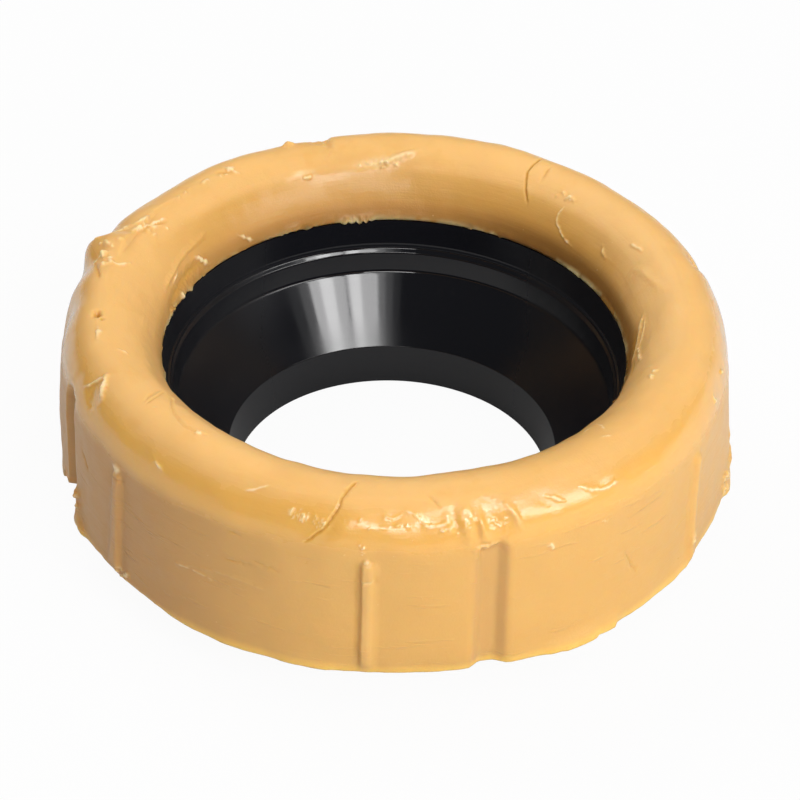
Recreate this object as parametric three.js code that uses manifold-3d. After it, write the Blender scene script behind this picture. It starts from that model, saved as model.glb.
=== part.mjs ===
// A pan seal: a thick ring of yellow wax cast round a black plastic horn.
// Millimetres, +Z up. The origin is the centre of the horn's lower end, which stands at z = 0.
// Angles are in degrees round +Z, counted from the front (-Y) towards the right (+X).

import * as THREE from 'three';
import { mergeVertices } from 'three/addons/utils/BufferGeometryUtils.js';
import Module from 'manifold-3d';

const wasm = await Module();
wasm.setup();

// Wax ring: outer size and the shape of its section
const waxRadius = 70;
const waxHeight = 40.6;
const sideDraft = 0.7;
const shoulderWidth = 9;
const shoulderHeight = 13.5;
const innerSlopeHeight = 18.7;
const baseEdgeWidth = 4;
const lipOverhang = 0.45;

// Horn: inside radii and heights, from the lower end up
const hornWall = 1.8;
const spoutEndRadius = 33.6;
const spoutDrop = 6.2;
const throatRadius = 34.9;
const throatDepth = 2.6;
const coneTopRadius = 45.5;
const coneHeight = 12.9;
const bandTopRadius = 46.4;
const bandHeight = 4.7;
const ledgeWidth = 0.5;
const ledgeRise = 0.8;
const ledgeRound = 0.2;
const grooveHeight = 0.8;
const grooveDepth = 0.4;
const grooveLip = 0.3;
const collarHeight = 5.4;
const collarFlare = 1.4;
const flangeReach = 5;
const flangeThickness = 1.5;
const endChamfer = 0.4;

// Clearance between the wax and the horn that it is cast on
const seatClearance = 0.3;

// Grooves and ribs that the tray leaves down the outside
const trayGrooveAngles = [17.1, 106.7, 196.7, -70.2];
const trayGrooveRadius = 4.2;
const trayGrooveDepth = 1.9;
const trayGrooveLean = 3.2;
const trayGrooveFaces = 24;
const trayRibAngles = [-51, -2.5, 61.5];
const trayRibRadius = 1.7;
const trayRibStandOut = 1.1;
const trayRibFoot = 2.4;
const trayRibTop = 27.5;
const trayRibFaces = 12;

// Slow waves in the crown, where the warm wax settled
const crownWaves = [
  { perTurn: 1, rise: 0.6, phase: -140 },
  { perTurn: 2, rise: 0.4, phase: 35 },
  { perTurn: 3, rise: 0.3, phase: 120 },
  { perTurn: 7, rise: 0.15, phase: 230 },
];

// Places where the lower outer edge tore up from the tray
const baseTears = [
  { at: -77, spread: 7, rise: 4.2 },
  { at: -56, spread: 6, rise: 1.1 },
  { at: -2, spread: 6, rise: 0.5 },
  { at: 18, spread: 4, rise: 1.2 },
  { at: 64, spread: 7, rise: 1.2 },
  { at: 118, spread: 8, rise: 1.2 },
  { at: 205, spread: 9, rise: 1.4 },
];

// Soft lumps of wax pushed out of the side
const sideLumps = [
  { at: -65, height: 2, spread: 4, tall: 5, push: 0.8 },
  { at: 36, height: 0, spread: 7, tall: 4, push: 1.3 },
  { at: 80, height: 4, spread: 6, tall: 9, push: 1.4 },
  { at: 104, height: 33, spread: 22, tall: 9, push: 0.6 },
  { at: -107, height: 37, spread: 6, tall: 5, push: 2.4 },
];

// Fineness of the turned faces: steps round, on the shoulder, on the inner slope and up the side
const turnSteps = 96;
const shoulderSteps = 8;
const slopeSteps = 9;
const sideSteps = 4;

// Smallest signed turn from one angle to another, in degrees
function turnBetween(angle, other) {
  return ((angle - other + 540) % 360) - 180;
}

// A soft round bump: 1 at the middle, near 0 beyond twice the spread
function bump(distance, spread) {
  return Math.exp(-((distance / spread) ** 2));
}

// Turn a closed section, given as points of radius and height, about +Z
function turned(section) {
  const points = [...section, section[0]];
  const geometry = new THREE.LatheGeometry(points, turnSteps);
  geometry.rotateX(Math.PI / 2);
  return geometry;
}

// The line that runs beside an open line at a distance, on its right-hand side
function besideLine(line, distance) {
  const normals = [];
  for (let i = 0; i + 1 < line.length; i += 1) {
    const along = new THREE.Vector2().subVectors(line[i + 1], line[i]).normalize();
    normals.push(new THREE.Vector2(along.y, -along.x));
  }
  return line.map((point, i) => {
    const before = normals[Math.max(i - 1, 0)];
    const after = normals[Math.min(i, normals.length - 1)];
    const middle = new THREE.Vector2().addVectors(before, after);
    const stretch = (2 * distance) / middle.lengthSq();
    return point.clone().addScaledVector(middle, stretch);
  });
}

// The point of a rising line at one height
function pointAtHeight(line, height) {
  const next = line.findIndex((point) => point.y > height);
  const low = line[next - 1];
  const high = line[next];
  return low.clone().lerp(high, (height - low.y) / (high.y - low.y));
}

// Points of a quarter ellipse, both ends included
function quarter(centre, width, height, fromAngle, toAngle, steps) {
  const clockwise = toAngle < fromAngle;
  const curve = new THREE.EllipseCurve(centre.x, centre.y, width, height, fromAngle, toAngle, clockwise);
  return curve.getPoints(steps);
}

// Closed mesh to solid, and back again
function toSolid(geometry) {
  const bare = geometry.clone();
  bare.deleteAttribute('normal');
  bare.deleteAttribute('uv');
  const merged = mergeVertices(bare, 1e-4);
  const mesh = new wasm.Mesh({
    numProp: 3,
    vertProperties: new Float32Array(merged.attributes.position.array),
    triVerts: new Uint32Array(merged.index.array),
  });
  return new wasm.Manifold(mesh);
}

function toGeometry(solid) {
  const mesh = solid.getMesh();
  const geometry = new THREE.BufferGeometry();
  geometry.setAttribute('position', new THREE.BufferAttribute(new Float32Array(mesh.vertProperties), 3));
  geometry.setIndex(new THREE.BufferAttribute(new Uint32Array(mesh.triVerts), 1));
  geometry.computeVertexNormals();
  return geometry;
}

// Inside line of the horn, from its lower end up to the top of its collar
const spoutLength = spoutDrop + throatDepth;
const bandFoot = spoutLength + coneHeight;
const ledgeFoot = bandFoot + bandHeight;
const grooveFoot = ledgeFoot + ledgeRise;
const collarFoot = grooveFoot + grooveHeight;
const hornTop = collarFoot + collarHeight;
const ledgeRadius = bandTopRadius + ledgeWidth;
const collarTopRadius = ledgeRadius + collarFlare;

const boreLine = [
  new THREE.Vector2(spoutEndRadius, 0),
  new THREE.Vector2(throatRadius, spoutLength),
  new THREE.Vector2(coneTopRadius, bandFoot),
  new THREE.Vector2(bandTopRadius, ledgeFoot),
  new THREE.Vector2(collarTopRadius, hornTop),
];

// The horn: a thin wall with a stepped band, and a flange at the top that keys into the wax
function hornGeometry() {
  const outside = besideLine(boreLine, hornWall);
  const endOutside = outside[0];
  const topOutside = outside[outside.length - 1];
  const flangeFoot = hornTop - flangeThickness;
  const neck = pointAtHeight(outside, flangeFoot);
  const flangeRadius = topOutside.x + flangeReach;
  const section = [
    new THREE.Vector2(endOutside.x - endChamfer, 0),
    new THREE.Vector2(endOutside.x, endChamfer),
    ...outside.slice(1, -1),
    neck,
    new THREE.Vector2(flangeRadius, flangeFoot),
    new THREE.Vector2(flangeRadius, hornTop),
    boreLine[4],
    new THREE.Vector2(ledgeRadius + grooveDepth, collarFoot),
    new THREE.Vector2(ledgeRadius + grooveDepth, grooveFoot + grooveLip),
    new THREE.Vector2(ledgeRadius, grooveFoot),
    new THREE.Vector2(ledgeRadius - ledgeWidth + ledgeRound, ledgeFoot + ledgeRound),
    ...boreLine.slice(0, 4).reverse(),
  ];
  return turned(section);
}

// The hollow in the wax that follows the outside of the horn, from the lip down to the underside
function seatLine() {
  const outside = besideLine(boreLine, hornWall + seatClearance);
  const flangeFoot = hornTop - flangeThickness - seatClearance;
  const seatTop = hornTop + seatClearance;
  const flangeRadius = besideLine(boreLine, hornWall)[4].x + flangeReach + seatClearance;
  return [
    new THREE.Vector2(collarTopRadius - lipOverhang, seatTop),
    new THREE.Vector2(flangeRadius, seatTop),
    new THREE.Vector2(flangeRadius, flangeFoot),
    pointAtHeight(outside, flangeFoot),
    ...outside.slice(1, -1).reverse(),
    pointAtHeight(outside, spoutDrop),
  ];
}

// Section of the wax: flat underside, upright side, round shoulder, crown and a long inner slope
function waxSection() {
  const top = spoutDrop + waxHeight;
  const crownRadius = waxRadius - sideDraft - shoulderWidth;
  const innerSlopeWidth = crownRadius - collarTopRadius + lipOverhang;
  const shoulder = new THREE.Vector2(crownRadius, top - shoulderHeight);
  const slope = new THREE.Vector2(crownRadius, top - innerSlopeHeight);
  const lip = hornTop + seatClearance;
  const lipAngle = Math.PI - Math.asin((lip - slope.y) / innerSlopeHeight);
  const side = [];
  for (let i = 0; i < sideSteps; i += 1) {
    const share = i / sideSteps;
    side.push(new THREE.Vector2(waxRadius - share * sideDraft, spoutDrop + share * (shoulder.y - spoutDrop)));
  }
  return [
    new THREE.Vector2(waxRadius - baseEdgeWidth, spoutDrop),
    ...side,
    ...quarter(shoulder, shoulderWidth, shoulderHeight, 0, Math.PI / 2, shoulderSteps),
    ...quarter(slope, innerSlopeWidth, innerSlopeHeight, Math.PI / 2, lipAngle, slopeSteps).slice(1, -1),
    ...seatLine(),
  ];
}

// Let the turned ring slump: waves in the crown, torn lower edge and lumps on the side
function slump(geometry) {
  const position = geometry.attributes.position;
  const seatReach = waxRadius - baseEdgeWidth / 2;
  for (let i = 0; i < position.count; i += 1) {
    const x = position.getX(i);
    const y = position.getY(i);
    const z = position.getZ(i);
    const radius = Math.hypot(x, y);
    const angle = THREE.MathUtils.radToDeg(Math.atan2(x, -y));
    const height = z - spoutDrop;
    const upper = Math.max(0, (z - hornTop - 2 * seatClearance) / (spoutDrop + waxHeight - hornTop));
    let rise = 0;
    for (const wave of crownWaves) {
      const turn = THREE.MathUtils.degToRad(wave.perTurn * angle + wave.phase);
      rise += wave.rise * Math.cos(turn) * Math.min(1, upper);
    }
    let push = 0;
    if (radius > seatReach - shoulderWidth && height > -seatClearance) {
      for (const lump of sideLumps) {
        const round = bump(turnBetween(angle, lump.at), lump.spread);
        push += lump.push * round * bump(height - lump.height, lump.tall);
      }
    }
    if (radius > seatReach && height < baseEdgeWidth) {
      for (const tear of baseTears) {
        rise += tear.rise * bump(turnBetween(angle, tear.at), tear.spread);
      }
    }
    const scale = (radius + push) / radius;
    position.setXYZ(i, x * scale, y * scale, z + rise);
  }
}

// A place at one angle and radius, at a height above the wax's underside
function placeAt(angle, radius, height) {
  const turn = THREE.MathUtils.degToRad(angle);
  return new THREE.Vector3(radius * Math.sin(turn), -radius * Math.cos(turn), spoutDrop + height);
}

// One upright rod that cuts a tray groove, leaning in at the top
function grooveRod(angle) {
  const length = 2 * waxHeight;
  const rod = new THREE.CylinderGeometry(trayGrooveRadius, trayGrooveRadius, length, trayGrooveFaces);
  rod.rotateX(Math.PI / 2);
  rod.rotateX(THREE.MathUtils.degToRad(-trayGrooveLean));
  const reach = waxRadius - trayGrooveDepth + trayGrooveRadius;
  rod.translate(0, -reach, spoutDrop + waxHeight / 3);
  rod.rotateZ(THREE.MathUtils.degToRad(angle));
  return rod;
}

// One upright round-ended rib
function ribBar(angle) {
  const length = trayRibTop - trayRibFoot - 2 * trayRibRadius;
  const bar = new THREE.CapsuleGeometry(trayRibRadius, length, trayRibFaces / 4, trayRibFaces);
  bar.rotateX(Math.PI / 2);
  const middle = placeAt(angle, waxRadius + trayRibStandOut - trayRibRadius, (trayRibTop + trayRibFoot) / 2);
  bar.translate(middle.x, middle.y, middle.z);
  return bar;
}

// The wax ring: the slumped section, with the tray's grooves cut and its ribs added
function waxGeometry() {
  const ring = turned(waxSection());
  slump(ring);
  let solid = toSolid(ring);
  for (const angle of trayRibAngles) {
    solid = solid.add(toSolid(ribBar(angle)));
  }
  for (const angle of trayGrooveAngles) {
    solid = solid.subtract(toSolid(grooveRod(angle)));
  }
  return toGeometry(solid);
}

const wax = new THREE.MeshStandardMaterial({ color: 0xe3ae69, roughness: 0.42, metalness: 0 });
const blackPlastic = new THREE.MeshStandardMaterial({ color: 0x141416, roughness: 0.22, metalness: 0 });

const waxRing = new THREE.Mesh(waxGeometry(), wax);
waxRing.name = 'wax_ring';

const hornSleeve = new THREE.Mesh(toGeometry(toSolid(hornGeometry())), blackPlastic);
hornSleeve.name = 'horn_sleeve';

const panSeal = new THREE.Group();
panSeal.name = 'toilet_pan_seal';
panSeal.add(waxRing, hornSleeve);

export default panSeal;
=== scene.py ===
import math
import random
import bmesh
import bpy
from mathutils import Matrix, Vector, noise
from mathutils.bvhtree import BVHTree
from mathutils.kdtree import KDTree


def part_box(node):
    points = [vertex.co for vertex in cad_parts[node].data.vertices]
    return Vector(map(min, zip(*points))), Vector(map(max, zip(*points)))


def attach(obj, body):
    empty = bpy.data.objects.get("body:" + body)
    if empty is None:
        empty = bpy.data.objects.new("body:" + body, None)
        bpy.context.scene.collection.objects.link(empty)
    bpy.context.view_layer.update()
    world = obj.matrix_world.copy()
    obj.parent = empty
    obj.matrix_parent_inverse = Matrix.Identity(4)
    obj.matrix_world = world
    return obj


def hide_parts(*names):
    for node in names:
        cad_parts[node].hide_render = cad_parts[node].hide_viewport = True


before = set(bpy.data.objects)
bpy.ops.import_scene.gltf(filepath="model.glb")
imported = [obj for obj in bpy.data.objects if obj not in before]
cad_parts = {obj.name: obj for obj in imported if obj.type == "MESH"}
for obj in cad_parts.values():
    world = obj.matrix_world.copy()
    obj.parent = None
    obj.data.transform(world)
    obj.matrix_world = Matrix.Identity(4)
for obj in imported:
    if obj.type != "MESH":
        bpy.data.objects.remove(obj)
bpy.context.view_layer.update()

# The view. The camera stands in front of the seal and looks down on it at the photograph's angle,
# rolled a little to its left. Lengths are in metres, angles in degrees.
view_height = 37.39
view_roll = -1.57
view_distance = 0.6433
view_aside = -0.00146
view_above = -0.01132
photo_focal_px = 3000
photo_width_px = 800
wax_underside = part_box("wax_ring")[0][2]

up_tilt = math.radians(view_height)
roll = math.radians(view_roll)
look = Vector((0, math.cos(up_tilt), -math.sin(up_tilt)))
above = Vector((0, math.sin(up_tilt), math.cos(up_tilt)))
aside = Vector((1, 0, 0))
camera_right = math.cos(roll) * aside - math.sin(roll) * above
camera_up = math.sin(roll) * aside + math.cos(roll) * above
camera_place = -view_distance * look - view_aside * aside - view_above * above
camera_place.z += wax_underside

camera_data = bpy.data.cameras.new("camera")
camera_data.sensor_width = 36
camera_data.lens = photo_focal_px / photo_width_px * camera_data.sensor_width
camera_data.clip_start = 0.01
camera = bpy.data.objects.new("camera", camera_data)
turn = Matrix((camera_right, camera_up, -look)).transposed().to_4x4()
camera.matrix_world = Matrix.Translation(camera_place) @ turn
bpy.context.scene.collection.objects.link(camera)
bpy.context.scene.camera = camera


# The horn. One thin moulding of glossy black polyethylene: a short spout, a cone, a steep band, a
# stepped ledge with a thin groove, and a collar whose flange the wax is cast round. Turned lines from
# the mould run round its inside. Radii and heights are in millimetres.
mm = 0.001
horn_wall = 1.8
spout_end_radius = 33.6
spout_length = 8.8
throat_radius = 34.9
cone_top_radius = 45.7
cone_top_height = 21.7
band_top_radius = 46.2
band_top_height = 26.4
ledge_radius = 46.9
ledge_top_height = 27.2
groove_top_height = 28.0
groove_depth = 0.4
collar_top_radius = 48.3
horn_top_height = 33.4
flange_radius = 55.0
flange_thickness = 1.5
spout_inner_bevel = 0.25
spout_outer_bevel = 0.4
ledge_rise = 0.35
groove_bevel = 0.15
band_backing = 0.3
brace_reach = 0.2
crease_angle = math.radians(28)
horn_steps = 288


def fillet(line, corner, reach, steps=4):
    """Rounds one corner of a line of (radius, height) points, from reach before it to reach after it."""
    before, at, after = (Vector(line[corner + i]) for i in (-1, 0, 1))
    start = at + (before - at).normalized() * reach
    end = at + (after - at).normalized() * reach
    arc = []
    for i in range(steps + 1):
        t = i / steps
        arc.append(tuple(start * (1 - t) ** 2 + at * 2 * t * (1 - t) + end * t ** 2))
    return line[:corner] + arc + line[corner + 1:]


def braced(line, reach):
    """Adds points close beside the corners of the line's long pieces, so that they shade flat."""
    made = [line[0]]
    for start, end in zip(line, line[1:]):
        start, end = Vector(start), Vector(end)
        if (end - start).length > 6 * reach:
            along = (end - start).normalized() * reach
            made += [tuple(start + along), tuple(end - along)]
        made.append(tuple(end))
    return made


def spun(name, section, steps):
    """A ring: a closed section of (radius, height) points in millimetres, spun about Z."""
    made = bmesh.new()
    points = [made.verts.new((0, -radius * mm, height * mm)) for radius, height in section]
    edges = [made.edges.new((points[i - 1], points[i])) for i in range(len(points))]
    bmesh.ops.spin(made, geom=points + edges, cent=(0, 0, 0), axis=(0, 0, 1), angle=2 * math.pi,
                   steps=steps, use_merge=True)
    bmesh.ops.remove_doubles(made, verts=made.verts, dist=1e-7)
    bmesh.ops.recalc_face_normals(made, faces=made.faces)
    for face in made.faces:
        face.smooth = True
    mesh = bpy.data.meshes.new(name)
    piece = bpy.data.objects.new(name, mesh)
    bpy.context.scene.collection.objects.link(piece)
    return piece, made


def settle(piece, made):
    """Puts the finished shape into its piece."""
    made.to_mesh(piece.data)
    made.free()


class Paint:
    """A socket of a material. Sums and products of sockets and numbers add Math nodes."""

    def __init__(self, tree, socket=None):
        self.tree = tree
        self.socket = socket

    def node(self, kind, settings=None, sockets=None, output=0):
        """Adds one node: its settings first, then the values or links of its sockets."""
        made = self.tree.nodes.new(kind)
        for name, setting in (settings or {}).items():
            setattr(made, name, setting)
        for name, value in (sockets or {}).items():
            if isinstance(value, Paint):
                self.tree.links.new(value.socket, made.inputs[name])
            else:
                made.inputs[name].default_value = value
        return Paint(self.tree, made.outputs[output])

    def math(self, operation, *values):
        sockets = dict(enumerate(values))
        return self.node("ShaderNodeMath", {"operation": operation}, sockets)

    def __add__(self, other):
        return self.math("ADD", self, other)

    def __radd__(self, other):
        return self.math("ADD", other, self)

    def __sub__(self, other):
        return self.math("SUBTRACT", self, other)

    def __rsub__(self, other):
        return self.math("SUBTRACT", other, self)

    def __mul__(self, other):
        return self.math("MULTIPLY", self, other)

    def __rmul__(self, other):
        return self.math("MULTIPLY", other, self)

    def __truediv__(self, other):
        return self.math("DIVIDE", self, other)

    def __pow__(self, other):
        return self.math("POWER", self, other)

    def smooth(self, low, high):
        """0 below low, 1 above high, smooth between; the other way round where low is above high."""
        ends = (0.0, 1.0)
        if low > high:
            low, high, ends = high, low, (1.0, 0.0)
        limits = {"From Min": low, "From Max": high, "To Min": ends[0], "To Max": ends[1]}
        return self.node("ShaderNodeMapRange", {"interpolation_type": "SMOOTHSTEP"},
                         {"Value": self, **limits})

    def blend(self, other, share):
        """Mixes this colour with another by a share."""
        return self.node("ShaderNodeMix", {"data_type": "RGBA"}, {0: share, 6: self, 7: other}, output=2)

    def colour(self, value):
        """One plain colour."""
        made = self.node("ShaderNodeRGB")
        made.socket.default_value = value
        return made

    def along(self, axis):
        """One coordinate of this place: 0, 1 or 2 for X, Y or Z."""
        return self.node("ShaderNodeSeparateXYZ", None, {0: self}, output=axis)

    def noise(self, place, scale, detail=2.0, roughness=0.5, stretch=(1, 1, 1)):
        """Noise between 0 and 1 over a place, with a scale in cells per metre."""
        drawn = self.node("ShaderNodeMapping", None, {"Vector": place, "Scale": stretch})
        return self.node("ShaderNodeTexNoise", None,
                         {"Vector": drawn, "Scale": scale, "Detail": detail, "Roughness": roughness})


def new_finish(name):
    """A new material, a socket to start from, the object's own coordinates and the shader node."""
    material = bpy.data.materials.new(name)
    material.use_nodes = True
    tree = material.node_tree
    shader = tree.nodes["Principled BSDF"]
    start = Paint(tree)
    place = start.node("ShaderNodeTexCoord", output=3)
    return material, start, place, shader


def feed(shader, **links):
    """Links what changes over the surface to the shader's sockets."""
    for name, value in links.items():
        shader.id_data.links.new(value.socket, shader.inputs[name.replace("_", " ")])


bore = [
    (spout_end_radius, spout_inner_bevel), (throat_radius, spout_length),
    (cone_top_radius, cone_top_height), (band_top_radius, band_top_height),
    (ledge_radius, ledge_top_height), (ledge_radius, ledge_top_height + ledge_rise),
    (ledge_radius + groove_depth, groove_top_height - groove_bevel),
    (ledge_radius + groove_depth, groove_top_height + groove_bevel),
    (collar_top_radius, horn_top_height),
]
# Round the corners at the ledge, the band's top, the cone's top and the throat, in that order
for corner, reach in ((4, 0.35), (3, 0.25), (2, 0.5), (1, 0.12)):
    bore = fillet(bore, corner, reach)
bore = braced(bore, brace_reach)
cone_lean = math.atan2(cone_top_radius - throat_radius, cone_top_height - spout_length)
outside_drop = horn_wall * math.tan(cone_lean / 2)
flange_foot = horn_top_height - flange_thickness
outside = [
    (collar_top_radius + horn_wall, flange_foot),
    (band_top_radius + horn_wall + band_backing, band_top_height),
    (cone_top_radius + horn_wall, cone_top_height - outside_drop),
    (throat_radius + horn_wall, spout_length - outside_drop),
    (spout_end_radius + horn_wall, spout_outer_bevel),
    (spout_end_radius + horn_wall - spout_outer_bevel, 0),
    (spout_end_radius + spout_inner_bevel, 0),
]
horn_section = bore + [(flange_radius, horn_top_height), (flange_radius, flange_foot)] + outside
horn, horn_shape = spun("horn", horn_section, horn_steps)
for edge in horn_shape.edges:
    edge.smooth = edge.calc_face_angle(0) < crease_angle
settle(horn, horn_shape)

black, ink, place, shader = new_finish("black_polyethylene")
around = ink.noise(place, 1.0, 3.0, 0.6, stretch=(6, 6, 2600))
fine = ink.noise(place, 1.0, 2.0, 0.5, stretch=(14, 14, 7200))
cloud = ink.noise(place, 34.0, 3.0, 0.55)
dust = ink.noise(place, 900.0, 2.0, 0.5).smooth(0.70, 0.80)
jet_black = (0.0062, 0.0065, 0.0085, 1)
dust_grey = (0.028, 0.026, 0.024, 1)
dusty = ink.colour(jet_black).blend(dust_grey, dust * 0.35)
scuffed = ink.math("ABSOLUTE", place.along(0)).smooth(0.020, 0.034)
cone_foot = place.along(2).smooth(0.0155, 0.0095)
sheen = 0.035 + 0.04 * cloud + 0.04 * around + scuffed * (0.16 + 0.20 * cloud) + 0.07 * cone_foot
turned_lines = ink.node("ShaderNodeBump", None,
                        {"Strength": 0.06, "Distance": 0.00005, "Height": around + 0.3 * fine})
feed(shader, Base_Color=dusty, Roughness=sheen, Normal=turned_lines)
shader.inputs["IOR"].default_value = 1.5
horn.data.materials.append(black)
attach(horn, "root")
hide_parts("horn_sleeve")


# The wax. A ring of honey-coloured petroleum wax, poured flat side down into a ribbed tray and cast
# round the horn. The tray left four grooves and three ribs; handling left cracks, folds and torn edges.
# Angles count from the front towards the right, heights from the wax's underside, in millimetres.
wax_radius = 70.0
wax_height = 40.6
side_draft = 0.7
shoulder_width = 9.0
shoulder_height = 13.5
slope_height = 18.7
lip_radius = 47.85
lip_height = horn_top_height + 0.3 - wax_underside / mm
seat_gap = 0.3
wax_steps = 440

shoulder_foot = wax_height - shoulder_height
crown_radius = wax_radius - side_draft - shoulder_width
slope_width = crown_radius - lip_radius
slope_middle = (crown_radius, wax_height - slope_height)
lip_turn = math.pi - math.asin((lip_height - slope_middle[1]) / slope_height)


def arc(middle, width, height, start, end, steps):
    """Points along an ellipse from one angle to another, in radians."""
    angles = [start + (end - start) * i / steps for i in range(steps + 1)]
    return [(middle[0] + width * math.cos(a), middle[1] + height * math.sin(a)) for a in angles]


side_steps = 26
shoulder_steps = 24
slope_steps = 30
side_foot = 0.5
edge_bevel = 0.12
underside_rings = (45, 56, 66.0, 68.2, 69.5)
shelf_middle = 50
shelf_end = flange_radius + seat_gap
side = []
for i in range(side_steps):
    share = i / side_steps
    side.append((wax_radius - side_draft * share, side_foot + (shoulder_foot - side_foot) * share))
shoulder = arc((crown_radius, shoulder_foot), shoulder_width, shoulder_height, 0, math.pi / 2, shoulder_steps)
slope = arc(slope_middle, slope_width, slope_height, math.pi / 2, lip_turn, slope_steps)
seat = [(radius + seat_gap, height - seat_gap - wax_underside / mm) for radius, height in outside[:4]]
foot_radius = seat[-1][0] - 0.1
underside = [(foot_radius, 0)] + [(radius, 0) for radius in underside_rings]
wax_section = (
    underside + [(wax_radius - edge_bevel, edge_bevel)] + side + shoulder + slope[1:]
    + [(shelf_middle, lip_height), (shelf_end, lip_height)]
    + [(shelf_end, lip_height - flange_thickness - 2 * seat_gap)] + seat
)
wax_section = [(radius, height + wax_underside / mm) for radius, height in wax_section]
wax, wax_shape = spun("wax", wax_section, wax_steps)

# What the tray left, with angles in degrees. A groove: its angle, its top, and 1 where its foot is
# blurred. A rib: its angle, its lean towards the foot, and its half width at the top and at the foot.
grooves = [(17.1, 30.5, 1), (106.7, 38.5, 0), (196.7, 38.5, 0), (-70.2, 31.5, 0)]
groove_cut = 1.7
groove_edges = (-3.4, -2.6, 1.2, 3.3)
groove_blur = (-1.4, 1.2, -0.6, 0.8)
ribs = [(-51, -1.2, 1.4, 2.0), (-3.2, 0, 1.5, 1.5), (61.5, 0, 1.5, 1.5)]
rib_stand_out = 0.95
rib_foot = 1.8
rib_top = 27.8

# How the warm wax slumped and tore. A wave of the crown: its turns, amount and phase. The sag: its
# angle, spread and amount. A tear or a fin of the lower edge: where it starts, is full, falls off and
# ends, then its lift or push. A lump: its angle, height, spread in degrees and millimetres, and push.
crown_waves = [(1, 0.6, -140), (2, 0.4, 35), (3, 0.3, 120), (7, 0.15, 230)]
crown_sag = (-6, 27, 0.85)
base_tears = [
    (-81, -76.5, -69, -67.8, 5.8), (-67, -57, -46, -33, 1.3), (57, 62, 66, 70, 0.4),
    (108, 117, 119, 128, 1.2), (194, 204, 206, 216, 1.4),
]
base_fins = [
    (79.5, 81.5, 88, 92, 1.2), (25, 28, 29.5, 30, 0.8), (29.7, 30.3, 35.5, 38, 1.2),
    (36.5, 38, 40.4, 41.2, 0.9), (-32, -27, -22.5, -20.5, 0.35), (-18, -16, -9.5, -8, 0.4),
    (58.5, 59.5, 61, 62, 0.4),
]
torn_height = 8
side_lumps = [
    (84, 9, 10, 15, 1.6), (104, 33, 22, 9, 0.4), (-108, 37, 3.2, 5, 2.8), (-118, 38, 6, 5, 0.9),
    (-96.5, 35, 3.5, 7, 0.6), (-85, 15, 7, 16, 0.5), (-91, 34, 5, 5, -0.9), (34, 0, 13, 4, 0.45),
    (56, 0, 7, 4, 0.45), (5, 0, 9, 4, -0.45), (-68, 2, 2, 4, 0.7),
]

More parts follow.
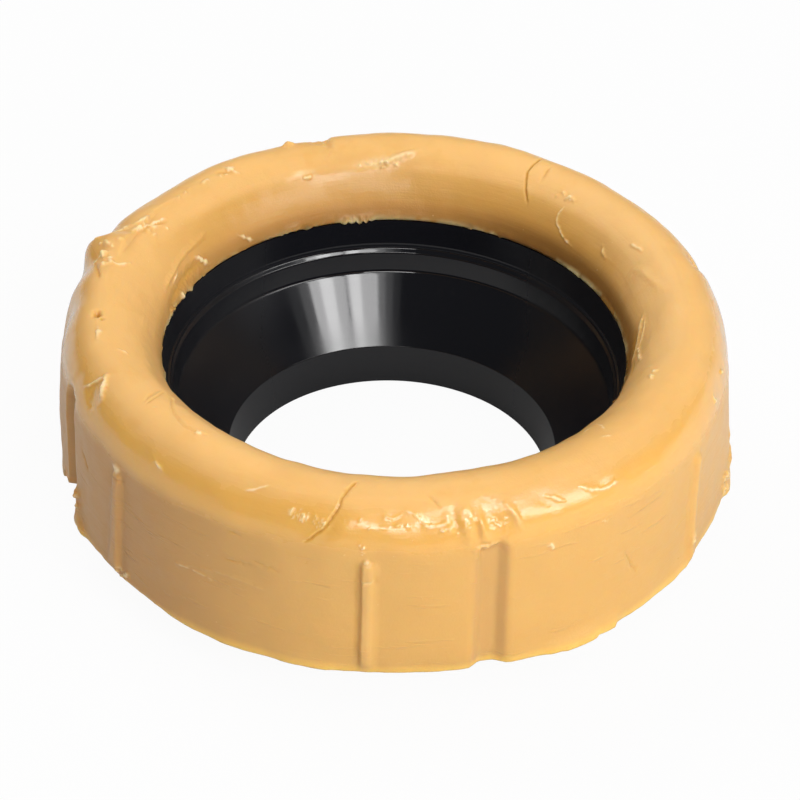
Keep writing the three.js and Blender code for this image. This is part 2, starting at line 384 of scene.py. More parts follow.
# Cracks, folds, scrapes and chips. Each is a line of (angle, radius, height) points on the surface,
# then its half width, its depth (below 0 it stands proud), how far the left side of the line stands
# above the right one, and its tone from -1 (deep orange) to 1 (pale), in millimetres. In the cracks,
# creases and dents the deep orange is painted shade.
marks = [
    ([(-6.3, 59.1, 40.2), (-7.8, 63, 39.6), (-8.6, 65.4, 38), (-9.1, 66.3, 36.9), (-10.3, 67.7, 34.6),
      (-12.3, 68.5, 32.3), (-13.5, 68.8, 31)], 0.27, 0.42, -0.3, -1),
    ([(-8, 66, 37.4), (-9.3, 67.9, 34.2), (-11, 68.6, 31.8)], 1.5, 0.35, 0, -0.45),
    ([(149.8, 62.3, 40.8), (150.3, 58.1, 40.8), (150.3, 55.9, 39.9), (149, 53.5, 38), (147.3, 51.9, 36)],
     0.3, 0.42, 0.25, -1),
    ([(146.7, 60.1, 41.1), (146.6, 55.9, 39.8)], 0.35, 0.3, 0, -0.5),
    ([(137.8, 53.2, 37.6), (138.1, 51.6, 35.5), (136, 50.5, 33.7), (131.2, 49.8, 32.1)],
     0.24, -0.25, 0, 0.7),
    ([(-52.9, 54.9, 38.5), (-47.8, 58.3, 40.2), (-43.6, 59.9, 40.5), (-40.1, 60.1, 40.6), (-37, 59.3, 40.6)],
     0.3, 0.25, 0.3, -0.35),
    ([(-47, 56.8, 39.4), (-41, 58.4, 40.3)], 2.2, -0.4, 0, 0.15),
    ([(-52.9, 61, 40.2), (-56.1, 55.7, 38.8)], 0.35, 0.25, 0, -0.4),
    ([(-27.1, 69.4, 21.3), (-22.5, 69.4, 22.2)], 0.22, 0.25, 0, -0.5),
    ([(-37, 69.6, 14.9), (-28, 69.6, 17.5), (-19.9, 69.5, 17)], 0.3, -0.12, 0, 0.2),
    ([(42.4, 69.5, 17.1), (43.7, 69.6, 13.4), (45.3, 69.7, 10.2)], 0.3, 0.3, 0, -0.4),
    ([(-63.4, 69.4, 22.9), (-61, 69.4, 19.8)], 0.28, 0.25, 0, -0.4),
    ([(26.8, 69.2, 27.8), (27.2, 69.3, 26.5)], 0.3, -0.35, 0, 0.9),
    ([(6.6, 62.8, 39.7), (8.4, 64.9, 38.3)], 0.28, 0.25, 0, -0.4),
    ([(33.6, 66, 37), (35.2, 66.8, 36), (36.9, 67.2, 35.4), (38.7, 67.3, 35.2), (40.5, 67.2, 35.4)],
     0.3, -0.35, 0.1, 0.9),
    ([(27, 65.7, 37.4), (29.8, 66.9, 35.8)], 0.3, -0.35, 0, 1),
    ([(26, 66.3, 37), (28.5, 67.2, 35.4)], 1.2, 0.35, 0, -0.3),
    ([(-83.9, 61.3, 39.7), (-83.4, 61.2, 39.7)], 0.8, 1.4, 0, -1),
    ([(-81.8, 60.4, 39.9), (-81.6, 60.4, 39.9)], 0.4, 0.5, 0, -1),
    ([(-79.2, 61.3, 39.8), (-75.5, 61.7, 39.8)], 0.45, -0.4, 0, 0.8),
    ([(-71.3, 58.7, 39.8), (-69.7, 57.5, 39.5)], 0.28, -0.35, 0, 0.8),
    ([(-64.1, 63.1, 39.4), (-62.5, 64.3, 38.6), (-60.6, 65.7, 37.3)], 0.6, -0.8, 0, 1),
    ([(-64.1, 63.1, 39.4), (-65.6, 65.6, 37.5), (-66.6, 66.9, 36)], 0.35, -0.45, 0, 0.7),
    ([(-65, 65.6, 37.5), (-62.8, 66.8, 35.7)], 1.9, 1.0, 0, -0.5),
    ([(-43, 67.2, 35.5), (-40.8, 67.7, 34.7)], 0.3, -0.3, 0, 0.7),
    ([(-176, 53.6, 38.4), (-179.5, 54.6, 39.3), (176, 55.9, 40.3)], 0.7, -0.8, 0, 0.6),
    ([(-170, 53.4, 37.9), (-176.5, 54.8, 39.3)], 1.0, 0.4, 0, -0.3),
    ([(-119.7, 50.2, 32.6), (-123.6, 48.8, 29.4)], 0.5, -0.6, 0, 1),
    ([(-111, 50.7, 33.3), (-108.2, 50.1, 32.2)], 0.4, -0.4, 0, 0.9),
    ([(-135.4, 49.5, 31.1), (-139.4, 48.6, 29.1)], 0.4, -0.4, 0, 0.8),
    ([(-114.7, 59, 39.6), (-117.5, 57.6, 39.4)], 0.5, -0.5, 0, 0.8),
    ([(-116.4, 58.9, 39.6), (-119.3, 57.3, 39.3)], 0.55, 0.6, 0, -0.9),
    ([(-138.3, 60, 40.7), (-141, 58.4, 40.5)], 0.6, 0.5, 0, -0.8),
    ([(-140.6, 60.6, 40.8), (-142.3, 57.4, 40.3)], 0.4, -0.45, 0, 0.9),
    ([(122.5, 51.7, 35.8), (119.9, 50.9, 34.4)], 0.4, -0.4, 0, 0.5),
    ([(116.1, 54.9, 39.1), (111.9, 55.7, 39.6)], 0.3, -0.3, 0, 0.6),
    ([(108.3, 51.4, 35.1), (107.8, 53.4, 37.8), (97.3, 55.9, 39.5)], 0.9, -0.25, 0, 0),
    ([(83.7, 50.5, 33.5), (76.3, 51.6, 35.3)], 0.4, -0.4, 0, 0.7),
    ([(16.4, 65.4, 37.8), (18, 67.3, 34.6), (18.2, 68.4, 32.4)], 2.1, 0.9, 0, -0.45),
    ([(12.9, 65.2, 38), (14.6, 66.8, 35.5), (15.6, 68.4, 31.8)], 1.0, -0.8, 0, 0.1),
    ([(13.9, 65.4, 37.8), (14.4, 67, 35.5), (14.6, 68.2, 32.4)], 0.6, 0.5, 0, -0.35),
    ([(12, 65.6, 37.2), (12.6, 67, 35), (13, 68.4, 32.4)], 1.0, -0.7, 0, 0.1),
    ([(10.6, 65.6, 37.6), (11, 67.6, 34.4)], 0.8, 0.5, 0, -0.3),
    ([(9.6, 66.2, 36.9), (9.9, 67.4, 34.9)], 0.9, -0.5, 0, 0.15),
    ([(13.8, 69, 30), (16, 69.3, 30.4), (18.2, 69, 30.9)], 0.6, -0.6, 0, 0.4),
    ([(14, 69, 28.9), (15.4, 69.3, 28.8)], 0.3, 0.2, 0, -0.3),
    ([(19.8, 65.6, 37.6), (20.9, 66.8, 35.6), (21.8, 68.2, 32.6)], 0.7, -0.6, 0, 0.35),
    # Painted shade along the left flank of the front rib
    ([(-4.9, 69.9, 28.4), (-4.9, 70, 4)], 0.55, 0.06, 0, -0.45),
    ([(93.8, 51.3, 34.9), (89.3, 50.5, 33.4), (84.8, 49.9, 32.4), (80.4, 49.5, 31.3)], 0.3, -0.4, 0.3, 0.7),
    ([(92, 51.8, 35.6), (87, 51, 34.4), (82, 50.4, 33.2)], 0.22, -0.25, 0, 0.6),
    ([(94, 50, 32.4), (84, 49.2, 30)], 1.0, 0.3, 0, -0.6),
    ([(-166.5, 48.2, 28.2), (-171.5, 48, 28)], 0.7, -0.1, 0, 0.25),
    ([(-123, 49.5, 30.5), (-112, 49.3, 30.5), (-102, 49, 29)], 1.5, 0.6, 0, -0.55),
    ([(-126, 52, 34.5), (-115, 51.8, 34.2), (-104, 51, 33)], 0.7, -0.45, 0, 0.1),
    ([(-4.4, 71, 23.3), (-2.1, 71, 23.5)], 0.22, 0.3, 0, 0.3),
    ([(-52.2, 71, 26.6), (-49.8, 71, 26.6)], 0.22, 0.3, 0, -0.3),
    ([(-51.3, 70.2, 28.6), (-50.9, 70.2, 28.6)], 0.8, -0.5, 0, 1),
    ([(-66, 70.6, 2.4), (-64.4, 70.6, 0.5)], 1.2, -1.6, 0, -0.25),
    ([(-67.4, 70, 9), (-67.1, 70, 8.2)], 0.8, -0.7, 0, 0.1),
    ([(-162.6, 57, 40), (-162.6, 60.5, 41), (-162.6, 66.5, 38.5)], 2.3, 0.9, 0, 0),
    ([(-164.3, 57.5, 40.4), (-164.5, 60.5, 41), (-164.3, 66, 38.5)], 0.9, 0.6, 0, -0.2),
    ([(-155.6, 62.3, 40.8), (-157.4, 62.3, 40.8)], 0.6, -1.8, 0, 0.5),
    ([(83.6, 71, 9.5), (82.8, 71.2, 6)], 1.2, -1.5, 0, -0.15),
    ([(82.6, 71, 16), (82.2, 71.2, 13.5)], 0.7, -0.6, 0, 0.3),
    ([(-111.8, 60.8, 39.7), (-116.3, 59, 39.7), (-120, 57.6, 39.5)], 0.45, -0.4, 0, 0.9),
    ([(-114.3, 61.2, 39.7), (-117.5, 60.2, 39.8)], 0.4, -0.35, 0, 0.8),
    ([(-112.5, 59.5, 39.7), (-118.5, 58.6, 39.7)], 0.8, 0.35, 0, -0.5),
    ([(-109.3, 63.2, 39.4), (-112, 62.8, 39.4), (-114.1, 62.1, 39.6)], 0.45, -0.4, 0, 0.7),
    ([(-101.4, 60.9, 39.6), (-100.8, 59.4, 39.5), (-102.5, 57.7, 39.2)], 0.35, -0.3, 0, 0.7),
    ([(-101.4, 64, 38.9), (-95.5, 61.7, 39.5)], 0.4, 0.3, 0.2, -0.6),
    # Two broad pale strokes on the back of the crown, barely raised: painted highlight
    ([(-152.6, 53.5, 37.8), (-156, 53.7, 38.2), (-159.3, 54, 38.4)], 0.8, -0.15, 0, 0.55),
    ([(-167.1, 53, 37.8), (-171.8, 53.5, 38.4), (-177.7, 53.9, 38.7), (176.3, 54.7, 39.4)],
     1.5, -0.1, 0, 0.5),
    ([(-52.1, 61, 40.2), (-52.9, 58.7, 40.1), (-55.3, 55.4, 38.7)], 0.25, 0.22, 0, -0.5),
    ([(-24.9, 66.2, 37.3), (-23, 65.4, 38.2), (-21.2, 64.3, 39.1)], 0.25, -0.22, 0, 0.8),
    ([(-26.7, 69.2, 28.9), (-24.4, 69.2, 28.3)], 0.22, 0.22, 0, -0.6),
    ([(-22.2, 69.4, 23.4), (-19.8, 69.4, 23.1), (-17.5, 69.4, 22.4)], 0.2, 0.2, 0, -0.5),
    ([(-36.8, 69.6, 15.2), (-31.5, 69.6, 15.4), (-29.3, 69.6, 14.9)], 0.22, -0.14, 0, 0.5),
    ([(42.4, 55.5, 38.7), (44.9, 55.6, 38.8)], 0.3, -0.25, 0, 0.7),
    ([(46.7, 55.1, 38.5), (45.2, 58.9, 40)], 0.28, -0.2, 0, 0.6),
    ([(42.6, 60, 40.1), (44.6, 60.9, 40)], 0.25, -0.22, 0, 0.7),
    ([(80.1, 49.9, 32.3), (71.2, 50.8, 34)], 0.5, 0.25, 0, -0.8),
    # Small raised lumps along the front shoulder, paled as painted glints of its highlight
    ([(5.1, 66.7, 36.3), (7, 67.2, 35.4), (9.5, 66.9, 35.9)], 0.3, -0.22, 0.2, 0.8),
    ([(-0.9, 65.6, 37.6), (0.5, 66.2, 36.9), (1.8, 65.7, 37.5)], 0.25, -0.15, 0, 0.5),
    ([(2.4, 65.1, 38.2), (3.9, 65.6, 37.7), (5.2, 66.4, 36.7)], 0.25, -0.15, 0.12, 0.5),
]

# Places strewn with crumbs of wax: angle, radius, height, spread in degrees and in millimetres, how
# many, and how big in millimetres
crumb_places = [
    (-103, 63, 39.4, 5, 4, 22, 0.5), (-115, 58.5, 39.6, 4, 3, 6, 0.45), (-141, 58.5, 40.5, 3, 2, 6, 0.45),
    (-134.3, 59.7, 40.6, 1, 1, 2, 0.5), (-129, 60.5, 40.1, 2, 2, 3, 0.45),
    (138.5, 54.6, 38.8, 2, 1.5, 9, 0.4),
    (-177, 53.6, 38.2, 5, 1, 11, 0.4), (-158, 53, 37.4, 1, 0.5, 2, 0.5), (66, 56.5, 39.6, 4, 2, 10, 0.35),
    (-4, 68.8, 30.8, 0.6, 1.4, 5, 0.28), (-3.3, 70.6, 28.2, 1, 0.4, 4, 0.3),
    (-50, 70.8, 2, 1.5, 1.2, 7, 0.55),
    (-67, 70.4, 6.5, 0.5, 2.5, 5, 0.5), (80, 71, 4, 3, 4, 12, 0.7), (61.4, 71, 7, 1, 1.5, 3, 0.4),
    (37, 69.2, 28.4, 1.3, 0.8, 5, 0.28), (1, 67, 36, 5, 0.9, 7, 0.28), (9, 67.4, 34.6, 1.5, 0.6, 6, 0.32),
    (17.4, 67.2, 35, 0.8, 0.8, 6, 0.35), (16.2, 69, 29.6, 1.4, 0.5, 4, 0.35),
    (-39, 60, 40.5, 1.6, 0.6, 3, 0.45),
    (-50.1, 60.6, 40.3, 0.2, 0.2, 1, 0.4), (77.8, 68, 34.5, 0.5, 0.5, 2, 0.4),
    (71.4, 68.3, 33.4, 0.5, 0.5, 2, 0.4),
    (-110, 48.2, 28.2, 1, 0.3, 2, 0.5), (-5, 69.4, 29.5, 2, 0.6, 3, 0.22),
]
burr_count = 24
dice = random.Random(7)


def on_wax(angle, radius, height):
    """The place at an angle, radius and height."""
    a = math.radians(angle)
    return Vector((radius * math.sin(a), -radius * math.cos(a), height + wax_underside / mm)) * mm


for angle, radius, height, wide, deep, count, size in crumb_places:
    for _ in range(count):
        at = (
            angle + dice.gauss(0, wide / 2),
            radius + dice.gauss(0, deep / 3),
            height + dice.gauss(0, deep / 2),
        )
        turn = dice.uniform(0, 2 * math.pi)
        long = size * dice.uniform(0.2, 1.6)
        end = (at[0] + long * math.cos(turn), at[1] + long * math.sin(turn), at[2] - long * math.sin(turn))
        fat = size * dice.uniform(0.5, 0.9)
        marks.append(([at, end], fat, -fat * dice.uniform(0.7, 1.1), 0, dice.uniform(0.3, 1)))

# A row of short pale burrs, close together, on the front shoulder left of the middle
for _ in range(burr_count):
    slide = dice.uniform(0, 1)
    at = (
        -16.2 + 7 * slide,
        66.6 + 0.4 * slide + dice.uniform(-0.3, 0.3),
        36.8 - 1.2 * slide + dice.uniform(-0.6, 0.6),
    )
    marks.append(([at, (at[0] - 0.3, at[1] + 0.5, at[2] - 1.3)], 0.14, -0.13, 0, 0.6))


def on_curve(before, start, end, after, t):
    """A place between start and end, on the smooth curve through all four."""
    bend = (2 * before - 5 * start + 4 * end - after) * t ** 2
    bend += (3 * start - before - 3 * end + after) * t ** 3
    return start + 0.5 * ((end - before) * t + bend)


def between(angle, other):
    """The signed turn from one angle to another, in degrees."""
    return (angle - other + 540) % 360 - 180


def bump(distance, spread):
    """A bell, 1 at no distance and about a third at one spread."""
    return math.exp(-((distance / spread) ** 2))


def ease(value, low, high):
    """0 below low, 1 above high, smooth between."""
    t = min(1.0, max(0.0, (value - low) / (high - low)))
    return t * t * (3 - 2 * t)


def window(value, start, full, fall, end):
    """0 outside start to end, 1 from full to fall, smooth between."""
    return ease(value, start, full) * (1 - ease(value, fall, end))


def roughened(place, size, amount):
    """Smooth noise of a size in millimetres, between -amount and amount."""
    return amount * noise.noise(place / (size * mm))


# Crowd the ring's steps towards the narrow features, so that they come out crisp
crowding = 0.55
rib_share = 4.0
groove_share = 6.0
crowded = [(rib[0], rib_share) for rib in ribs] + [(groove[0], groove_share) for groove in grooves]
for vert in wax_shape.verts:
    angle = math.degrees(math.atan2(vert.co.x, -vert.co.y))
    pull = 0.0
    for at, spread in crowded:
        away = between(angle, at)
        pull -= crowding * away * bump(away, spread)
    vert.co.rotate(Matrix.Rotation(math.radians(pull), 3, "Z"))

# Lay each mark on the surface as a close row of spots, and make the mesh finer round them
surface = BVHTree.FromBMesh(wax_shape)
spot_step = 0.2
wander = 0.2
wander_size = 1.8
rows = []
for line, *_ in marks:
    corners = [surface.find_nearest(on_wax(*corner))[0] for corner in line]
    spots = []
    for start, end, *ends in zip(corners, corners[1:], corners[:1] + corners, corners[2:] + corners[-1:]):
        count = max(1, round((end - start).length / (spot_step * mm)))
        for i in range(count + 1):
            spot = on_curve(ends[0], start, end, ends[1], i / count)
            spot += noise.noise_vector(spot / (wander_size * mm)) * wander * mm
            spots.append(surface.find_nearest(spot)[0])
    rows.append(spots)
spot_count = sum(len(spots) for spots in rows)
fine_margin = 0.35
search_reach = 2.6
finest_edge = 0.3
for reach in (1.5, 1.1):
    tree = KDTree(spot_count)
    widths = []
    for spots, mark in zip(rows, marks):
        for spot in spots:
            tree.insert(spot, len(widths))
            widths.append(1.5 * mark[1] + fine_margin)
    tree.balance()
    close = set()
    for vert in wax_shape.verts:
        near = tree.find_range(vert.co, search_reach * reach * mm)
        if any(distance < widths[index] * reach * mm for _, index, distance in near):
            close.add(vert)
    cut = [edge for edge in wax_shape.edges if edge.verts[0] in close and edge.verts[1] in close
           and edge.calc_length() > finest_edge * mm]
    bmesh.ops.subdivide_edges(wax_shape, edges=cut, cuts=1, use_grid_fill=True)
    bmesh.ops.triangulate(wax_shape, faces=[face for face in wax_shape.faces if len(face.verts) > 4])
wax_shape.verts.ensure_lookup_table()
wax_shape.verts.index_update()
wax_shape.normal_update()

# How far each mark pushes the wax out, and its tone
tree = KDTree(len(wax_shape.verts))
for vert in wax_shape.verts:
    tree.insert(vert.co, vert.index)
tree.balance()
pushed = [0.0] * len(wax_shape.verts)
toned = [0.0] * len(wax_shape.verts)
for (_, half_width, depth, step, tone), spots in zip(marks, rows):
    nearest = {}
    for row, spot in enumerate(spots):
        for co, index, distance in tree.find_range(spot, (3.2 * half_width + 0.3) * mm):
            if index not in nearest or distance < nearest[index][0]:
                nearest[index] = (distance, row)
    for index, (distance, row) in nearest.items():
        vert = wax_shape.verts[index]
        away = distance / mm
        ragged = 0.3 if depth > 0 or half_width > 0.65 else 0.9
        away += ragged * half_width * noise.noise(vert.co / (0.8 * mm))
        run = min(row, len(spots) - 1 - row) * spot_step
        ends = 0.35 + 0.65 * ease(run, 0, 4 * half_width) if len(spots) > 8 else 1
        shape = bump(away, half_width) * ends
        pushed[index] -= depth * shape
        if abs(tone * shape) > abs(toned[index]):
            toned[index] = tone * shape
        if step:
            along = spots[min(row + 1, len(spots) - 1)] - spots[max(row - 1, 0)]
            left = vert.normal.cross(along).dot(vert.co - spots[row]) > 0
            if left == (step > 0):
                stands = abs(step) * ends * ease(away, 0.3 * half_width, half_width)
                pushed[index] += stands * bump(away, 2.2 * half_width)

# Move the wax's skin. The flat underside and the hollow round the horn stay as they were cast.
outside_start = 61
outside_full = 65
tone_layer = wax_shape.verts.layers.float.new("tone")
for vert in wax_shape.verts:
    place = vert.co.copy()
    radius = math.hypot(place.x, place.y) / mm
    angle = math.degrees(math.atan2(place.x, -place.y))
    height = (place.z - wax_underside) / mm
    if height < 0.001 and radius < outside_full:
        continue
    if radius < flange_radius + 1 and height < lip_height + 0.05 and radius > lip_radius + 0.3:
        continue
    if radius < lip_radius + 3 and height < lip_height - 0.05:
        continue
    outer = ease(radius, outside_start, outside_full)
    upper = ease(height, lip_height, wax_height)
    out = roughened(place, 24, 0.4) + roughened(place, 9, 0.26) + roughened(place, 3.5, 0.11)
    out *= ease(height, 0, 3) * 0.7 + 0.3
    rise = 0.0
    for turns, amount, phase in crown_waves:
        rise += amount * math.cos(math.radians(turns * angle + phase)) * upper
    rise -= crown_sag[2] * bump(between(angle, crown_sag[0]), crown_sag[1]) * upper * (1 - 0.7 * outer)
    for at, top, blurred in grooves:
        soft = blurred * (1 - ease(height, 1, 6))
        across = between(angle, at) * math.radians(1) * wax_radius + roughened(place, 5, 0.2)
        flat = window(across, *(edge + blur * soft for edge, blur in zip(groove_edges, groove_blur)))
        # Painted shade: the groove's floor toned a little darker
        toned[vert.index] -= 0.1 * outer * flat * (1 - ease(height, top - 4, top))
        out -= outer * groove_cut * flat * (1 - ease(height + roughened(place, 3, 0.8), top - 2, top + 1.5))
    for at, lean, top_half, foot_half in ribs:
        down = 1 - ease(height, rib_foot, rib_top)
        turned = between(angle, at + lean * down)
        across = abs(turned) * math.radians(1) * wax_radius + roughened(place, 2.5, 0.12)
        half = top_half + (foot_half - top_half) * down
        length = window(height, rib_foot - 1.2, rib_foot + 0.6, rib_top - 0.9, rib_top + 0.5)
        stands = outer * (1 - ease(across, half - 0.8, half + 0.1)) * length
        out += rib_stand_out * stands
        toned[vert.index] += 0.2 * stands
    if radius > 60:
        for at, level, spread, tall, push in side_lumps:
            out += push * bump(between(angle, at), spread) * bump(height - level, tall)
    if radius > 67.5 and height < torn_height:
        for start, full, fall, end, lift in base_tears:
            turned = angle % 360 if start > 150 else angle
            rise += lift * window(turned, start, full, fall, end) * (1 - height / torn_height)
        for start, full, fall, end, push in base_fins:
            frayed = angle + 0.3 * roughened(place, 1.5, 1)
            out += push * window(frayed, start, full, fall, end) * (1 - ease(height, 0.8, 3.6))
        out += (roughened(place, 8, 0.2) + roughened(place, 2.2, 0.15)) * (1 - ease(height, 1, 4))
    near_lip = 1 - ease(height, lip_height, lip_height + 1.8)
    if radius < 52 and near_lip > 0:
        rise -= near_lip * (max(0, roughened(place, 6, 2.2)) + abs(roughened(place, 1.3, 1.6)))
        out += near_lip * (max(0, roughened(place, 1.8, 1.6)) + max(0, roughened(place, 5, 1.2)))
    aim = Vector((place.x, place.y, 0)).normalized() if height < 1 else vert.normal
    vert.co += aim * (out + pushed[vert.index]) * mm
    vert.co.z += rise * mm
    vert[tone_layer] = toned[vert.index]
settle(wax, wax_shape)

honey, ink, place, shader = new_finish("honey_wax")
# Where things are on the wax: reach and level in millimetres, the masks between 0 and 1. Many of the masks
# mark where shade and light are painted into the colour
across_x = place.along(0)
across_y = place.along(1)
level = (place.along(2) - wax_underside) / mm
reach = (across_x * across_x + across_y * across_y) ** 0.5 / mm
tone = ink.node("ShaderNodeAttribute", {"attribute_name": "tone"}, output=2)
cloud = ink.noise(place, 22.0, 3.0, 0.55)
mottle = ink.noise(place, 160.0, 4.0, 0.6)
drag = ink.noise(place, 1.0, 3.0, 0.6, stretch=(60, 60, 1100))
grain = ink.noise(place, 2400.0, 2.0, 0.5)
smear = ink.noise(place, 1.0, 4.0, 0.65, stretch=(45, 45, 260))
patches = ink.noise(place, 90.0, 3.0, 0.6).smooth(0.46, 0.56)
specks = ink.noise(place, 700.0, 3.0, 0.65).smooth(0.72, 0.80)
uneven = level + 5.0 * (cloud - 0.5)
outside_share = reach.smooth(62.0, 66.0)
golden = uneven.smooth(39.0, 36.0) * outside_share
# The lower outside walls, where their shading is painted into the colour
wall_painted_shading = uneven.smooth(32.5, 28.5) * outside_share
far_left_painted_shade = across_x.smooth(-0.050, -0.067) * outside_share
in_front = across_y.smooth(-0.010, -0.045)
inner_front_painted_light = in_front * reach.smooth(63.0, 57.0) * across_x.smooth(0.045, -0.010)
beside = reach.smooth(62.0, 58.0) * level.smooth(34.0, 37.0) * (1.0 - in_front)
right_side_painted_light = beside * across_x.smooth(0.010, 0.045)
right_front_painted_shade = in_front * across_x.smooth(0.005, 0.030) * uneven.smooth(34.0, 38.0)
groove_turn = math.radians(grooves[0][0])
over_groove = (across_x * math.cos(groove_turn) + across_y * math.sin(groove_turn)) / mm
groove_width = over_groove.smooth(-4.8, -3.2) * over_groove.smooth(3.6, 2.6) * across_y.smooth(0.0, -0.02)
groove_painted_shade = groove_width * level.smooth(30.6, 29.0) * outside_share
behind = across_y.smooth(0.005, 0.045)
lining = level.smooth(12.0, 18.0)
inner_slope = level.smooth(37.5, 29.0) * reach.smooth(59.0, 53.0) * lining
# Where shade in the hollow beside the horn is painted
deep = (level + 3.0 * (cloud - 0.5)).smooth(32.5, 27.5) * reach.smooth(53.5, 50.5) * lining
upper_slope_painted_shade = level.smooth(38.8, 36.8) * level.smooth(30.0, 33.5) * reach.smooth(57.5, 55.0)
shaded = level.smooth(34.0, 30.0) * reach.smooth(53.5, 50.5) * lining
rim = level.smooth(29.0, 27.4) * reach.smooth(52.0, 50.0) * patches * lining
foot_painted_glow = level.smooth(2.6, 0.4) * outside_share

# The honey's colour, then the coats over it: each coat's colour and how much of it shows where. Several coats
# paint shade and light into the colour; each is marked
body = ink.colour((0.80, 0.468, 0.164, 1))
coats = [
    ((0.83, 0.492, 0.175, 1), cloud.smooth(0.42, 0.68)),
    ((0.70, 0.385, 0.110, 1), smear.smooth(0.50, 0.72) * 0.35),
    ((0.76, 0.405, 0.110, 1), mottle.smooth(0.56, 0.74) * 0.45),
    ((0.80, 0.425, 0.085, 1), golden * 0.8),
    # Painted shade: the lower outside walls darker and duller than the shoulder above them
    ((0.735, 0.418, 0.124, 1), wall_painted_shading * 0.85),
    # Painted shade: the walls at the left darker still, away from the light at the right
    ((0.53, 0.268, 0.086, 1), wall_painted_shading * across_x.smooth(-0.008, -0.055) * 0.8),
    # Painted light: the front of the crown, inside, lighter
    ((0.90, 0.565, 0.230, 1), inner_front_painted_light * 0.30),
    # Painted light: the crown at the right lighter
    ((0.90, 0.570, 0.240, 1), right_side_painted_light * 0.35),
    # Painted shade: the front crown at the right darker
    ((0.66, 0.370, 0.110, 1), right_front_painted_shade * 0.4),
    # Painted shade: the far left of the outside darker
    ((0.58, 0.300, 0.068, 1), far_left_painted_shade * 0.5),
    # Painted shade on the floor of the front groove
    ((0.60, 0.340, 0.122, 1), groove_painted_shade * 0.55),
    # Painted shade on the inner slope, heaviest at the back
    ((0.47, 0.210, 0.038, 1), inner_slope * (0.25 + 0.60 * behind)),
    # Painted shade in the hollow beside the horn, darkest at the right
    ((0.24, 0.115, 0.024, 1), deep * (0.45 + 0.45 * across_x.smooth(0.015, 0.040))),
    # Painted shade on the upper inner slope at the back
    ((0.58, 0.290, 0.045, 1), upper_slope_painted_shade * across_y.smooth(0.010, 0.040) * 0.55),
    ((0.20, 0.085, 0.014, 1), shaded * across_x.smooth(0.008, 0.035) * 0.7),
    ((0.56, 0.47, 0.24, 1), rim * 0.6),
    # Painted light: the outside's lowest edge brighter, a glow from the floor beneath
    ((0.97, 0.59, 0.135, 1), foot_painted_glow * 0.8),
    ((0.92, 0.70, 0.40, 1), specks * 0.5),
    # The marks' tone: its deep orange is painted shade in the cuts; its pale is the wax's own, with painted
    # highlight where the marks say so
    ((0.62, 0.31, 0.045, 1), (tone * -1.0).smooth(0.0, 0.9) * 0.75),
    ((0.95, 0.76, 0.46, 1), tone.smooth(0.05, 0.9) * 0.75),
]
for coat, share in coats:
    body = body.blend(coat, share)

rubbed = golden * (1.0 - wall_painted_shading)
film = 0.10 + 0.75 * rubbed - 0.08 * inner_slope
sheen = 0.20 + 0.16 * mottle + 0.08 * drag - 0.09 * rubbed + 0.16 * inner_slope
streaks = ink.noise(place, 1.0, 3.0, 0.6, stretch=(75, 75, 640)).smooth(0.60, 0.70) * wall_painted_shading
relief = drag * 0.4 + streaks * 0.7 + mottle * 0.9 + grain * 0.15 + specks * 0.7
skin = ink.node("ShaderNodeBump", None, {"Strength": 0.35, "Distance": 0.0005, "Height": relief})
feed(shader, Base_Color=body, Roughness=sheen, Normal=skin, Coat_Weight=film)
shader.inputs["IOR"].default_value = 1.45
shader.inputs["Coat Roughness"].default_value = 0.17
shader.inputs["Subsurface Weight"].default_value = 0.3
shader.inputs["Subsurface Radius"].default_value = (1.0, 0.42, 0.12)
shader.inputs["Subsurface Scale"].default_value = 0.004
wax.data.materials.append(honey)
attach(wax, "root")
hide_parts("wax_ring")


# The floor and the light. A wide white sheet lies under the seal. Two soft panels at the camera's right,
# each with a brighter core and dim edges, are what the horn mirrors. Two broad ones, behind at the left
# and high at the right, light the wax but aren't mirrored. Two low ones stand in front and at the right.
floor_half = 3.0
sheet_grey = 0.62
sheet_seen_white = 0.95
room_light = 0.10
room_seen = 0.90
room_mirrored = 0.04
floor_shape = bmesh.new()
bmesh.ops.create_grid(floor_shape, x_segments=1, y_segments=1, size=floor_half)
floor = bpy.data.objects.new("floor", bpy.data.meshes.new("floor"))
bpy.context.scene.collection.objects.link(floor)
settle(floor, floor_shape)

paper = bpy.data.materials.new("white_sheet")
paper.use_nodes = True
tree = paper.node_tree
sheet = Paint(tree)
tree.nodes["Principled BSDF"].inputs["Base Color"].default_value = (sheet_grey, sheet_grey, sheet_grey, 1)
tree.nodes["Principled BSDF"].inputs["Roughness"].default_value = 0.9
camera_ray = sheet.node("ShaderNodeLightPath", output=0)
glow = sheet.node("ShaderNodeEmission", None, {"Color": (1, 1, 1, 1), "Strength": 1.0})
seen = camera_ray * sheet_seen_white
lit = Paint(tree, tree.nodes["Principled BSDF"].outputs[0])
mixed = sheet.node("ShaderNodeMixShader", None, {0: seen, 1: lit, 2: glow})
tree.links.new(mixed.socket, tree.nodes["Material Output"].inputs["Surface"])
floor.data.materials.append(paper)

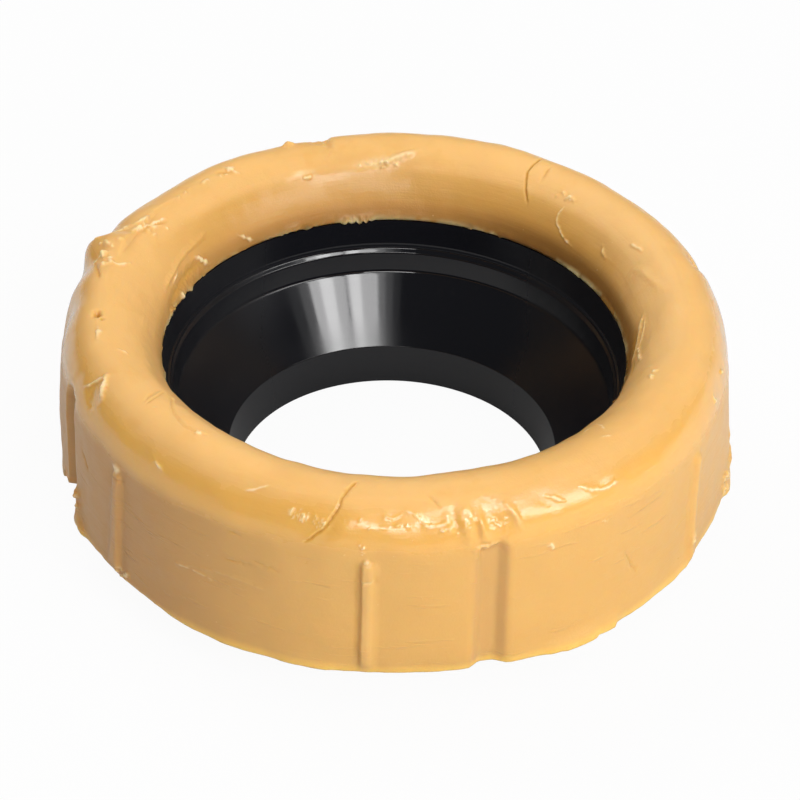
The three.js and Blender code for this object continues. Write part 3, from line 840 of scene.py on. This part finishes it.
world = bpy.data.worlds.new("room")
world.use_nodes = True
bpy.context.scene.world = world
room = Paint(world.node_tree)
seen_ray = room.node("ShaderNodeLightPath", output=0)
mirrored_ray = room.node("ShaderNodeLightPath", output=3)
backdrop = world.node_tree.nodes["Background"]
strength = room_light + seen_ray * room_seen - mirrored_ray * room_mirrored
world.node_tree.links.new(strength.socket, backdrop.inputs["Strength"])
backdrop.inputs["Color"].default_value = (1, 1, 1, 1)


def panel(name, azimuth, elevation, distance, width, height, power, mirrored=True):
    """A soft panel that faces the seal. Azimuth 0 is over the camera, and counts towards the right."""
    lamp = bpy.data.lights.new(name, "AREA")
    lamp.shape = "RECTANGLE"
    lamp.size = width
    lamp.size_y = height
    lamp.energy = power
    hung = bpy.data.objects.new(name, lamp)
    hung.visible_glossy = mirrored
    a = math.radians(azimuth)
    e = math.radians(elevation)
    aim = Vector((math.sin(a) * math.cos(e), -math.cos(a) * math.cos(e), math.sin(e)))
    facing = aim.to_track_quat("Z", "Y").to_matrix().to_4x4()
    hung.matrix_world = Matrix.Translation(aim * distance) @ facing
    bpy.context.scene.collection.objects.link(hung)


# The panels that the horn mirrors: name, azimuth, elevation, width and power
mirrored_distance = 1.2
mirrored_height = 0.30
mirrored_panels = [
    ("panel_near", 20.9, 42.5, 0.27, 2.35),
    ("panel_near_core", 25.2, 42.5, 0.10, 0.52),
    ("panel_near_edge", 9.6, 41, 0.085, 0.13),
    ("panel_near_haze", 7.4, 41, 0.155, 0.12),
    ("panel_near_rim", 5.1, 41, 0.227, 0.08),
    ("panel_far_edge", 54, 41, 0.12, 0.13),
    ("panel_far_haze", 57.5, 41, 0.23, 0.09),
    ("panel_far", 41.4, 41, 0.32, 2.8),
    ("panel_far_core", 41.8, 41, 0.12, 0.65),
]
for name, azimuth, elevation, width, power in mirrored_panels:
    panel(name, azimuth, elevation, mirrored_distance, width, mirrored_height, power)
panel("behind_left", -140, 45, 1.5, 1.2, 1.0, 15.0, mirrored=False)
panel("behind_right", 100, 65, 1.5, 1.2, 1.2, 6.8, mirrored=False)
panel("low_front", 4, 22, 1.4, 0.60, 0.22, 3.8)
panel("low_right", 54, 20, 1.4, 0.80, 0.40, 5.4)

bpy.context.scene.view_settings.view_transform = "Standard"
